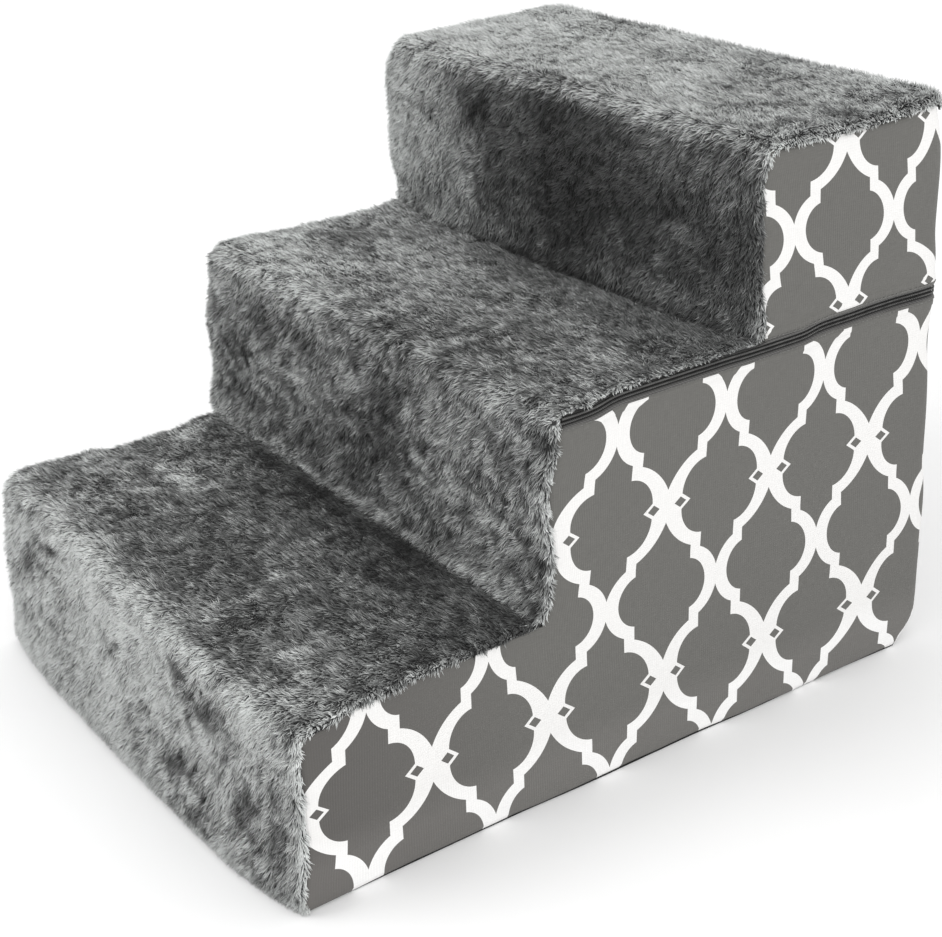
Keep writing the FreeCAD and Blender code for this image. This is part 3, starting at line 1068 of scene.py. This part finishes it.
def plush_cloth(name, s_low, s_high, body):
    rows = ruled(s_low, s_high, 0.0035)
    cols = ruled(-HALF_WIDTH, HALF_WIDTH, 0.005)
    s, across = np.meshgrid(rows, cols, indexing="ij")
    point, out, _, _ = plush_surface(s, across)
    front = settle(point)
    back = settle(point - out * PLUSH_CLOTH)
    points, faces, used = shell(front[:, ::-1], back[:, ::-1])
    piece = make_mesh(name, points, faces, BACKING, body)
    corner_map(piece, "cloth", places(used, across[:, ::-1], s[:, ::-1]))
    return piece


def plush_stretch(label, s_low, s_high, body, seed):
    """One stretch of plush: its cloth and the pile on it. The fold's strips have no body or foam."""
    cloth = plush_cloth("cloth_" + label, s_low, s_high, body)
    edges = np.linspace(s_low, s_high, math.ceil((s_high - s_low) / PILE_RUN) + 1)
    hair = []
    for k, (low, high) in enumerate(zip(edges, edges[1:])):
        hair.append(pile(f"pile_{label}_{'ab'[k]}", low, high, body, 10 * seed + k))
    if body:
        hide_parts("plush_" + label)
    return [cloth] + hair


def plush():
    """Six stretches of plush on the steps, and a strip at the second nosing that the top folds about."""
    _, nosing_1, crease_1, nosing_2, crease_2, nosing_3, _, _ = STEPS.corner_s
    stretches = (
        ("riser_1", 0.0, nosing_1, "base", "foam_lower"),
        ("tread_1", nosing_1, crease_1, "base", "foam_lower"),
        ("riser_2", crease_1, nosing_2 - FOLD_HALF, "base", "foam_middle"),
        ("fold_low", nosing_2 - FOLD_HALF, nosing_2, None, None),
        ("fold_high", nosing_2, nosing_2 + FOLD_HALF, None, None),
        ("tread_2", nosing_2 + FOLD_HALF, crease_2, "hood", "foam_middle"),
        ("riser_3", crease_2, nosing_3, "hood", "foam_upper"),
        ("tread_3", nosing_3, STEPS.length, "hood", "foam_upper"),
    )
    for seed, (label, low, high, body, foam_block) in enumerate(stretches, 1):
        pieces = plush_stretch(label, low, high, body, seed)
        if body is None:
            for piece in pieces:
                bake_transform(piece)


# ---------------- foam and base
def foam_block(part, body):
    """One closed block of foam with rounded edges, a little inside its CAD block."""
    low, high = (np.array(v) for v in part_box("foam_block_" + part))
    low = low + (0.0015, 0.0015, 0.0003)
    high = high - (0.0015, 0.0015, 0.0010)
    lines = []
    for axis in range(3):
        a, b = low[axis], high[axis]
        near = [a + FOAM_ROUND * k for k in (0.3, 0.65, 1.0)]
        far = [b - FOAM_ROUND * k for k in (0.3, 0.65, 1.0)]
        lines.append(ruled(a, b, 0.009, *near, *far))
    points, quads = [], []
    for axis in range(3):
        p, q = [k for k in range(3) if k != axis]
        for end, flip in ((0, axis != 1), (-1, axis == 1)):
            one, two = np.meshgrid(lines[p], lines[q], indexing="ij")
            grid = np.zeros(one.shape + (3,))
            grid[..., p], grid[..., q], grid[..., axis] = one, two, lines[axis][end]
            start = sum(len(x) for x in points)
            number = np.arange(one.size).reshape(one.shape) + start
            a, b, c, d = number[:-1, :-1], number[1:, :-1], number[1:, 1:], number[:-1, 1:]
            ring = [a, d, c, b] if flip else [a, b, c, d]
            quads.append(np.stack(ring, -1).reshape(-1, 4))
            points.append(grid.reshape(-1, 3))
    points = np.concatenate(points)
    quads = np.concatenate(quads)
    _, first, again = np.unique(np.round(points, 7), axis=0, return_index=True, return_inverse=True)
    points = points[first]
    quads = again.ravel()[quads]
    inner = np.clip(points, low + FOAM_ROUND, high - FOAM_ROUND)
    away = points - inner
    size = np.linalg.norm(away, axis=1)[:, None]
    points = inner + away / np.maximum(size, 1e-9) * FOAM_ROUND
    x, y, z = points.T
    wobble = 0.0006 * lump_field(51, x + z, y - z, 0.03, 0.03)
    middle = (low + high) / 2
    inward = (middle - points) / np.linalg.norm(middle - points, axis=1)[:, None]
    points = points + inward * (0.0006 + wobble)[:, None]
    piece = make_mesh("foam_" + part, settle(points), quads, FOAM, body)
    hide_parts("foam_block_" + part)


def foam():
    for part, body in (("lower", "base"), ("middle", "base"), ("upper", "hood")):
        foam_block(part, body)


def base():
    """The dark fabric under the stairs, its bound edge and its grip dots."""
    low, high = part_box("base_panel")
    inset = Vector((BASE_INSET, BASE_INSET, 0))
    low, high = low + inset, high - inset
    x, y = np.meshgrid(ruled(low.x, high.x, 0.008), ruled(low.y, high.y, 0.008))
    top = settle(np.stack([x, y, np.full(x.shape, BASE_TOP)], -1))
    bottom = settle(np.stack([x, y, np.full(x.shape, BASE_BOTTOM)], -1))
    points, faces, used = shell(top, bottom)
    piece = make_mesh("base_cloth", points, faces, BASE, "base")
    corner_map(piece, "cloth", places(used, x, y))
    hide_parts("base_panel")
    binding()
    dots(low, high)


def binding():
    """A thin dark cord of piping where the canvas meets the base, all round."""
    u = ruled(FRONT, left_u(FRONT), GRID, *corner_places())
    x, y = rim(u, -PIPING_INSET)
    line = settle(np.stack([x, y, np.zeros(len(u))], -1))
    line[:, 2] = PIPING_LEVEL
    tangent = np.gradient(line, axis=0)
    tangent /= np.linalg.norm(tangent, axis=1)[:, None]
    upward = np.array([0, 0, 1.0])
    outward = np.cross(tangent, upward)[:, None]
    angles = np.linspace(0, math.tau, 8, endpoint=False)[None, :, None]
    rings = line[:, None] + PIPING_RADIUS * (np.cos(angles) * outward + np.sin(angles) * upward)
    points = rings.reshape(-1, 3)
    faces = tube(len(u), 8)[:, ::-1]
    piece = make_mesh("base_piping", points, faces, BASE, "base")
    corner_map(piece, "cloth", points[:, :2])


def dots(low, high):
    """Small domed grip dots in staggered rows under the base."""
    centres = []
    for row, y in enumerate(np.arange(low.y + DOT_GAP, high.y - 0.016, DOT_GAP)):
        for x in np.arange(low.x + DOT_GAP * (1 + row % 2 / 2), high.x - 0.012, DOT_GAP):
            centres.append((x, y, 0))
    angles = np.linspace(0, math.tau, 10, endpoint=False)
    rings = [(0.0022, 0.0011), (0.0020, 0.0005), (0.0012, 0.00012)]
    shape = [(r * math.cos(a), r * math.sin(a), z) for r, z in rings for a in angles]
    shape = np.array(shape + [(0, 0, 0.0), (0, 0, 0.0011)])
    points = shape[None] + np.array(centres)[:, None]
    caps = [((20 + i, 30, 20 + (i + 1) % 10), (i, (i + 1) % 10, 31)) for i in range(10)]
    faces = np.concatenate([wall(3, 10)[:, ::-1], np.reshape(caps, (-1, 3))])
    faces = copies(faces, len(shape), len(centres))
    piece = make_mesh("grip_dots", points.reshape(-1, 3), faces, RUBBER, "base")


# ---------------- the studio
def floor():
    n = Paint("studio_floor", roughness=0.9, specular=0.1)
    mottle = n.noise(n.place(), 3.0, 2.0)
    length = n.node("VectorMath", operation="LENGTH")
    n.feed(length.inputs[0], n.place())
    far = n.ramp(n.times(length.outputs["Value"], 0.5), (0.35, (0, 0, 0)), (0.95, (1, 1, 1)))
    near_by = n.ramp(mottle, (0.2, (0.86, 0.86, 0.86)), (0.8, (0.88, 0.88, 0.88)))
    n.colour(n.mix(far, near_by, (0.95, 0.95, 0.95)))
    corners = [(-6, -6, 0), (6, -6, 0), (6, 6, 0), (-6, 6, 0)]
    make_mesh("studio_floor", corners, [(0, 1, 2, 3)], n.material, None)


def softbox(name, place, target, size, power):
    data = bpy.data.lights.new(name, "AREA")
    data.shape = "SQUARE"
    data.size = size
    data.energy = power
    lamp = add_object(name, data)
    lamp.location = place
    lamp.rotation_mode = "QUATERNION"
    lamp.rotation_quaternion = (Vector(target) - Vector(place)).to_track_quat("-Z", "Y")


def lights():
    world = bpy.data.worlds.new("studio")
    world.use_nodes = True
    background = world.node_tree.nodes["Background"]
    background.inputs["Color"].default_value = (1, 1, 1, 1)
    background.inputs["Strength"].default_value = 1.06
    bpy.context.scene.world = world
    middle = (0, 0, 0.15)
    softbox("key", (-0.9, -2.1, 2.2), middle, 1.4, 26)
    softbox("fill", (2.6, -0.8, 1.6), middle, 1.8, 22)
    bpy.context.scene.view_settings.view_transform = "Standard"


# The viewpoint of the photograph: 54 degrees round to the right, 25 up, with a slight roll.
EYE = (0.9907, -0.6924, 0.7158)
EYE_ANGLES = (54.416, 25.378, -1.548)
LENS = 70.94


def camera():
    azimuth, elevation, roll = (math.radians(a) for a in EYE_ANGLES)
    data = bpy.data.cameras.new("camera")
    data.lens = LENS
    data.clip_end = 50
    eye = add_object("camera", data)
    round_z = Matrix.Rotation(azimuth, 4, "Z")
    raised = Matrix.Rotation(math.pi / 2 - elevation, 4, "X")
    rolled = Matrix.Rotation(roll, 4, "Z")
    eye.matrix_world = Matrix.Translation(EYE) @ round_z @ raised @ rolled
    bpy.context.scene.camera = eye


foam()
base()
canvas()
zipper()
plush()
floor()
lights()
camera()
